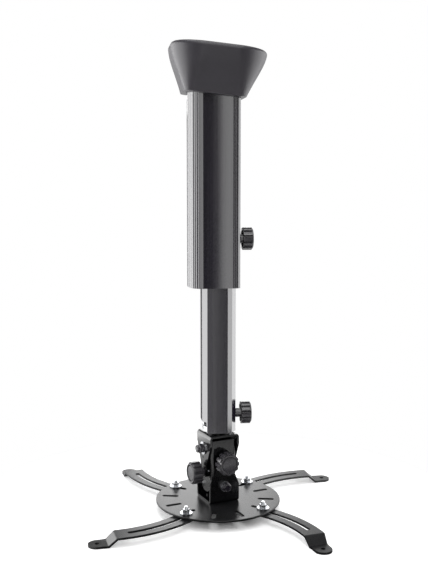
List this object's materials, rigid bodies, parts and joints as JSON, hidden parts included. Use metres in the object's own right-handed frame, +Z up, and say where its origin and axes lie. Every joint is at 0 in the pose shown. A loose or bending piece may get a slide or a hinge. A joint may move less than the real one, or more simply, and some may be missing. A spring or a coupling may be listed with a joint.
{
  "type": "projector ceiling mount",
  "caption": "Telescopic ceiling mount: flared cover, sliding column, tilt and roll head with clamp knobs, round slotted plate, curved slotted arms.",
  "frame": {"origin": "centre of the ceiling plate's slot pattern, on its top face in the ceiling plane", "axes": "+Z up, square to the ceiling; -Y is the front face of the outer column; +X is the side with the height and swivel knobs"},
  "size_m": [0.315, 0.2992, 0.5506],
  "materials": {
    "cover_plastic": "matte moulded anthracite",
    "knob_plastic": "satin moulded black",
    "anodised_black": "satin black anodised",
    "anodised_black_inner": "satin black anodised",
    "bush_plastic": "matte",
    "brass_insert": "turned",
    "zinc_cast": "cast and turned zinc alloy",
    "gloss_black": "gloss black powder coat",
    "satin_black": "satin black powder coat",
    "zinc_plate": "bright zinc plate"
  },
  "bodies": {
    "ceiling_mount": {"ceiling_plate": "satin_black", "column_screws": "zinc_plate", "outer_column": "anodised_black", "guide_bush": "bush_plastic", "height_insert": "brass_insert"},
    "cover": {"ceiling_cover": "cover_plastic"},
    "mast": {"inner_column": "anodised_black_inner", "top_glide": "bush_plastic", "swivel_insert": "zinc_cast"},
    "height_clamp": {"height_knob": "knob_plastic", "height_stud": "zinc_plate"},
    "swivel_lock": {"swivel_knob": "knob_plastic", "swivel_stud": "zinc_plate"},
    "upper_head": {"upper_yoke": "gloss_black", "swivel_spindle": "gloss_black", "tilt_bolt": "zinc_plate", "tilt_washers": "zinc_plate", "tilt_nut": "zinc_plate", "tilt_stud": "zinc_plate"},
    "tilt_clamp": {"tilt_knob": "knob_plastic"},
    "cross_head": {"cross_bracket": "gloss_black"},
    "lower_head": {"lower_yoke": "gloss_black", "round_plate": "satin_black", "plate_rivets": "gloss_black", "roll_bolt": "zinc_plate", "roll_washers": "zinc_plate", "roll_nut": "zinc_plate", "roll_stud": "zinc_plate"},
    "roll_clamp": {"roll_knob": "knob_plastic"},
    "clamp_front_left": {"washer_front_left": "zinc_plate", "nut_front_left": "zinc_plate"},
    "post_front_left": {"bolt_front_left": "zinc_plate"},
    "arm_front_left": {"arm_front_left": "satin_black"},
    "clamp_front_right": {"washer_front_right": "zinc_plate", "nut_front_right": "zinc_plate"},
    "post_front_right": {"bolt_front_right": "zinc_plate"},
    "arm_front_right": {"arm_front_right": "satin_black"},
    "clamp_rear_right": {"washer_rear_right": "zinc_plate", "nut_rear_right": "zinc_plate"},
    "post_rear_right": {"bolt_rear_right": "zinc_plate"},
    "arm_rear_right": {"arm_rear_right": "satin_black"},
    "clamp_rear_left": {"washer_rear_left": "zinc_plate", "nut_rear_left": "zinc_plate"},
    "post_rear_left": {"bolt_rear_left": "zinc_plate"},
    "arm_rear_left": {"arm_rear_left": "satin_black"}
  },
  "joints": [
    {"name": "cover_slide", "type": "slide", "parent": "ceiling_mount", "child": "cover", "axis": [0, 0, 1], "range_m": [-0.146, 0]},
    {"name": "height_slide", "type": "slide", "parent": "ceiling_mount", "child": "mast", "axis": [0, 0, 1], "range_m": [-0.072, 0.1295]},
    {"name": "height_knob_turn", "type": "hinge", "parent": "ceiling_mount", "child": "height_clamp", "pos_m": [0.03175, 0, -0.214], "axis": [1, 0, 0], "continuous": true},
    {"name": "swivel_knob_turn", "type": "hinge", "parent": "mast", "child": "swivel_lock", "pos_m": [0.02715, 0, -0.4235], "axis": [1, 0, 0], "continuous": true},
    {"name": "head_swivel", "type": "hinge", "parent": "mast", "child": "upper_head", "pos_m": [0.00625, 0, -0.4287], "axis": [0, 0, 1], "continuous": true},
    {"name": "tilt_knob_turn", "type": "hinge", "parent": "upper_head", "child": "tilt_clamp", "pos_m": [-0.0121, -0.00596, -0.4932], "axis": [-0.9511, -0.309, 0], "continuous": true},
    {"name": "tilt", "type": "hinge", "parent": "upper_head", "child": "cross_head", "pos_m": [0.00625, 0, -0.4642], "axis": [0.9511, 0.309, 0], "range_deg": [-15, 15]},
    {"name": "roll", "type": "hinge", "parent": "cross_head", "child": "lower_head", "pos_m": [0.00625, 0, -0.5082], "axis": [-0.309, 0.9511, 0], "range_deg": [-15, 15]},
    {"name": "roll_knob_turn", "type": "hinge", "parent": "lower_head", "child": "roll_clamp", "pos_m": [0.01221, -0.01835, -0.4787], "axis": [0.309, -0.9511, 0], "continuous": true},
    {"name": "clamp_slide_front_left", "type": "slide", "parent": "lower_head", "child": "clamp_front_left", "axis": [-0.6691, -0.7431, 0], "range_m": [-0.012, 0]},
    {"name": "arm_swing_front_left", "type": "hinge", "parent": "clamp_front_left", "child": "post_front_left", "pos_m": [-0.03691, -0.04793, -0.5287], "axis": [0, 0, 1], "range_deg": [-30, 30]},
    {"name": "arm_reach_front_left", "type": "hinge", "parent": "post_front_left", "child": "arm_front_left", "pos_m": [-0.1393, 0.04755, -0.5287], "axis": [0, 0, 1], "range_deg": [0, 7.2]},
    {"name": "clamp_slide_front_right", "type": "slide", "parent": "lower_head", "child": "clamp_front_right", "axis": [0.7431, -0.6691, 0], "range_m": [-0.012, 0]},
    {"name": "arm_swing_front_right", "type": "hinge", "parent": "clamp_front_right", "child": "post_front_right", "pos_m": [0.05418, -0.04316, -0.5287], "axis": [0, 0, 1], "range_deg": [-30, 30]},
    {"name": "arm_reach_front_right", "type": "hinge", "parent": "post_front_right", "child": "arm_front_right", "pos_m": [-0.03813, -0.14842, -0.5287], "axis": [0, 0, 1], "range_deg": [-2.4, 4.8]},
    {"name": "clamp_slide_rear_right", "type": "slide", "parent": "lower_head", "child": "clamp_rear_right", "axis": [0.6691, 0.7431, 0], "range_m": [-0.012, 0]},
    {"name": "arm_swing_rear_right", "type": "hinge", "parent": "clamp_rear_right", "child": "post_rear_right", "pos_m": [0.04941, 0.04793, -0.5287], "axis": [0, 0, 1], "range_deg": [-30, 30]},
    {"name": "arm_reach_rear_right", "type": "hinge", "parent": "post_rear_right", "child": "arm_rear_right", "pos_m": [0.14218, -0.05692, -0.5287], "axis": [0, 0, 1], "range_deg": [0, 7.2]},
    {"name": "clamp_slide_rear_left", "type": "slide", "parent": "lower_head", "child": "clamp_rear_left", "axis": [-0.7431, 0.6691, 0], "range_m": [-0.012, 0]},
    {"name": "arm_swing_rear_left", "type": "hinge", "parent": "clamp_rear_left", "child": "post_rear_left", "pos_m": [-0.04168, 0.04316, -0.5287], "axis": [0, 0, 1], "range_deg": [-30, 30]},
    {"name": "arm_reach_rear_left", "type": "hinge", "parent": "post_rear_left", "child": "arm_rear_left", "pos_m": [0.04451, 0.15348, -0.5287], "axis": [0, 0, 1], "range_deg": [0, 7.2]}
  ]
}
